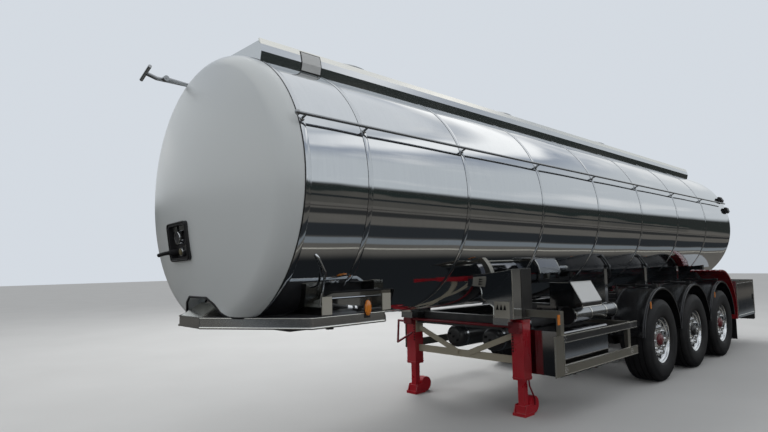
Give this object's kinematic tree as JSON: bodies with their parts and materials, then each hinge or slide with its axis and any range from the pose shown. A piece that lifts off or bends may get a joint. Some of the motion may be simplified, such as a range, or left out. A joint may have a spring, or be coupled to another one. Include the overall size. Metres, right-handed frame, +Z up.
{
  "type": "tank semi-trailer",
  "caption": "Three-axle stainless tank semi-trailer with white front cover, top coffer and folding handrail, on red landing legs.",
  "frame": {"origin": "on the ground, under the middle of the bounding box", "axes": "+X forward along the trailer, +Y to its left, +Z up"},
  "size_m": [10.75, 2.5, 3.4468],
  "materials": {
    "tank_steel": "polished stainless cladding with soft streaks",
    "white_cover": "off-white gel-coated moulding, satin",
    "dark_plastic": "black moulded plastic",
    "coffer_steel": "folded stainless sheet",
    "deck": "ribbed walkway sheet",
    "polished_steel": "polished stainless fittings",
    "red_paint": "dark red chassis paint",
    "grey_paint": "grey paint",
    "dark_steel": "dark grey chassis paint with dust",
    "black_steel": "black paint",
    "dark_axle": "dark axle paint with dust",
    "tyre": "black rubber, moulded tread",
    "rim": "bare aluminium with red or dark hub caps",
    "black_rubber": "black rubber",
    "white_paint": "white paint",
    "guard_metal": "anodised guard rails"
  },
  "bodies": {
    "trailer": {"air_springs": "black_rubber", "air_tanks": "dark_steel", "axles": "dark_axle", "chassis_rails": "dark_steel", "coffer": "coffer_steel", "connector_panel": "dark_plastic", "coupling_frame": "white_paint", "front_cover": "white_cover", "front_saddles": "polished_steel", "guard_carriers": "black_steel", "handrail_feet": "polished_steel", "hangers": "dark_steel", "hose_tube": "polished_steel", "kingpin_plate": "grey_paint", "leg_brackets": "grey_paint", "leg_drive": "red_paint", "leg_feet": "black_steel", "leg_outers": "red_paint", "manhole_necks": "polished_steel", "mud_flaps": "black_rubber", "mudguards": "dark_plastic", "rear_beam": "polished_steel", "rear_bumper": "dark_steel", "rear_cabinets": "polished_steel", "rear_ladder": "polished_steel", "rear_wings": "red_paint", "side_guards": "guard_metal", "side_rails": "polished_steel", "tank_cradles": "polished_steel", "tank_shell": "tank_steel", "tool_box": "polished_steel", "trailing_arms": "dark_axle", "valve_box": "polished_steel", "walkway": "deck"},
    "manhole_lid_1": {"manhole_lid_1": "polished_steel"},
    "manhole_lid_2": {"manhole_lid_2": "polished_steel"},
    "manhole_lid_3": {"manhole_lid_3": "polished_steel"},
    "handrail_post_1": {"handrail_post_1": "polished_steel"},
    "handrail_post_2": {"handrail_post_2": "polished_steel"},
    "handrail_post_3": {"handrail_post_3": "polished_steel"},
    "handrail_post_4": {"handrail_post_4": "polished_steel"},
    "handrail": {"handrail_bar": "polished_steel"},
    "cabinet_door_left": {"rear_cabinet_door_left": "polished_steel"},
    "cabinet_door_right": {"rear_cabinet_door_right": "polished_steel"},
    "valve_lid": {"valve_lid": "white_paint"},
    "hose_cap": {"hose_cap": "dark_plastic"},
    "wheel_left_1": {"tyre_left_1": "tyre", "rim_left_1": "rim"},
    "wheel_right_1": {"tyre_right_1": "tyre", "rim_right_1": "rim"},
    "wheel_left_2": {"tyre_left_2": "tyre", "rim_left_2": "rim"},
    "wheel_right_2": {"tyre_right_2": "tyre", "rim_right_2": "rim"},
    "wheel_left_3": {"tyre_left_3": "tyre", "rim_left_3": "rim"},
    "wheel_right_3": {"tyre_right_3": "tyre", "rim_right_3": "rim"}
  },
  "joints": [
    {"name": "wheel_left_1_spin", "type": "hinge", "parent": "trailer", "child": "wheel_left_1", "pos_m": [-0.63, 1.062, 0.53], "axis": [0, 1, 0], "continuous": true},
    {"name": "wheel_right_1_spin", "type": "hinge", "parent": "trailer", "child": "wheel_right_1", "pos_m": [-0.63, -1.062, 0.53], "axis": [0, 1, 0], "continuous": true},
    {"name": "wheel_left_2_spin", "type": "hinge", "parent": "trailer", "child": "wheel_left_2", "pos_m": [-1.94, 1.062, 0.53], "axis": [0, 1, 0], "continuous": true},
    {"name": "wheel_right_2_spin", "type": "hinge", "parent": "trailer", "child": "wheel_right_2", "pos_m": [-1.94, -1.062, 0.53], "axis": [0, 1, 0], "continuous": true},
    {"name": "wheel_left_3_spin", "type": "hinge", "parent": "trailer", "child": "wheel_left_3", "pos_m": [-3.25, 1.062, 0.53], "axis": [0, 1, 0], "continuous": true},
    {"name": "wheel_right_3_spin", "type": "hinge", "parent": "trailer", "child": "wheel_right_3", "pos_m": [-3.25, -1.062, 0.53], "axis": [0, 1, 0], "continuous": true},
    {"name": "manhole_lid_1_swing", "type": "hinge", "parent": "trailer", "child": "manhole_lid_1", "pos_m": [3.46, 0, 3.384], "axis": [0, -1, 0], "range_deg": [0, 100]},
    {"name": "manhole_lid_2_swing", "type": "hinge", "parent": "trailer", "child": "manhole_lid_2", "pos_m": [0.99, 0, 3.384], "axis": [0, -1, 0], "range_deg": [0, 100]},
    {"name": "manhole_lid_3_swing", "type": "hinge", "parent": "trailer", "child": "manhole_lid_3", "pos_m": [-1.62, 0, 3.384], "axis": [0, -1, 0], "range_deg": [0, 100]},
    {"name": "handrail_post_1_swing", "type": "hinge", "parent": "trailer", "child": "handrail_post_1", "pos_m": [4.31, -0.6, 3.11], "axis": [0, -1, 0], "range_deg": [0, 85]},
    {"name": "handrail_post_2_swing", "type": "hinge", "parent": "trailer", "child": "handrail_post_2", "pos_m": [2.295, -0.6, 3.11], "axis": [0, -1, 0], "range_deg": [0, 85]},
    {"name": "handrail_post_3_swing", "type": "hinge", "parent": "trailer", "child": "handrail_post_3", "pos_m": [0.28, -0.6, 3.11], "axis": [0, -1, 0], "range_deg": [0, 85]},
    {"name": "handrail_post_4_swing", "type": "hinge", "parent": "trailer", "child": "handrail_post_4", "pos_m": [-1.735, -0.6, 3.11], "axis": [0, -1, 0], "range_deg": [0, 85]},
    {"name": "handrail_level", "type": "hinge", "parent": "handrail_post_1", "child": "handrail", "pos_m": [5.20727, -0.6, 3.18], "axis": [0, -1, 0], "range_deg": [-85, 0]},
    {"name": "cabinet_door_left_swing", "type": "hinge", "parent": "trailer", "child": "cabinet_door_left", "pos_m": [-4.105, 1.24, 0.86], "axis": [0, 0, -1], "range_deg": [0, 100]},
    {"name": "cabinet_door_right_swing", "type": "hinge", "parent": "trailer", "child": "cabinet_door_right", "pos_m": [-4.105, -1.24, 0.86], "axis": [0, 0, 1], "range_deg": [0, 100]},
    {"name": "valve_lid_swing", "type": "hinge", "parent": "trailer", "child": "valve_lid", "pos_m": [1.19, 1.04045, 1.34317], "axis": [1, 0, 0], "range_deg": [0, 100]},
    {"name": "hose_cap_swing", "type": "hinge", "parent": "trailer", "child": "hose_cap", "pos_m": [1.312, 1.024, 0.97], "axis": [0, 0, 1], "range_deg": [0, 100]}
  ],
  "couplings": [
    {"joint": "handrail_post_2_swing", "follows": "handrail_post_1_swing", "ratio": 1},
    {"joint": "handrail_post_3_swing", "follows": "handrail_post_1_swing", "ratio": 1},
    {"joint": "handrail_post_4_swing", "follows": "handrail_post_1_swing", "ratio": 1},
    {"joint": "handrail_level", "follows": "handrail_post_1_swing", "ratio": -1}
  ]
}
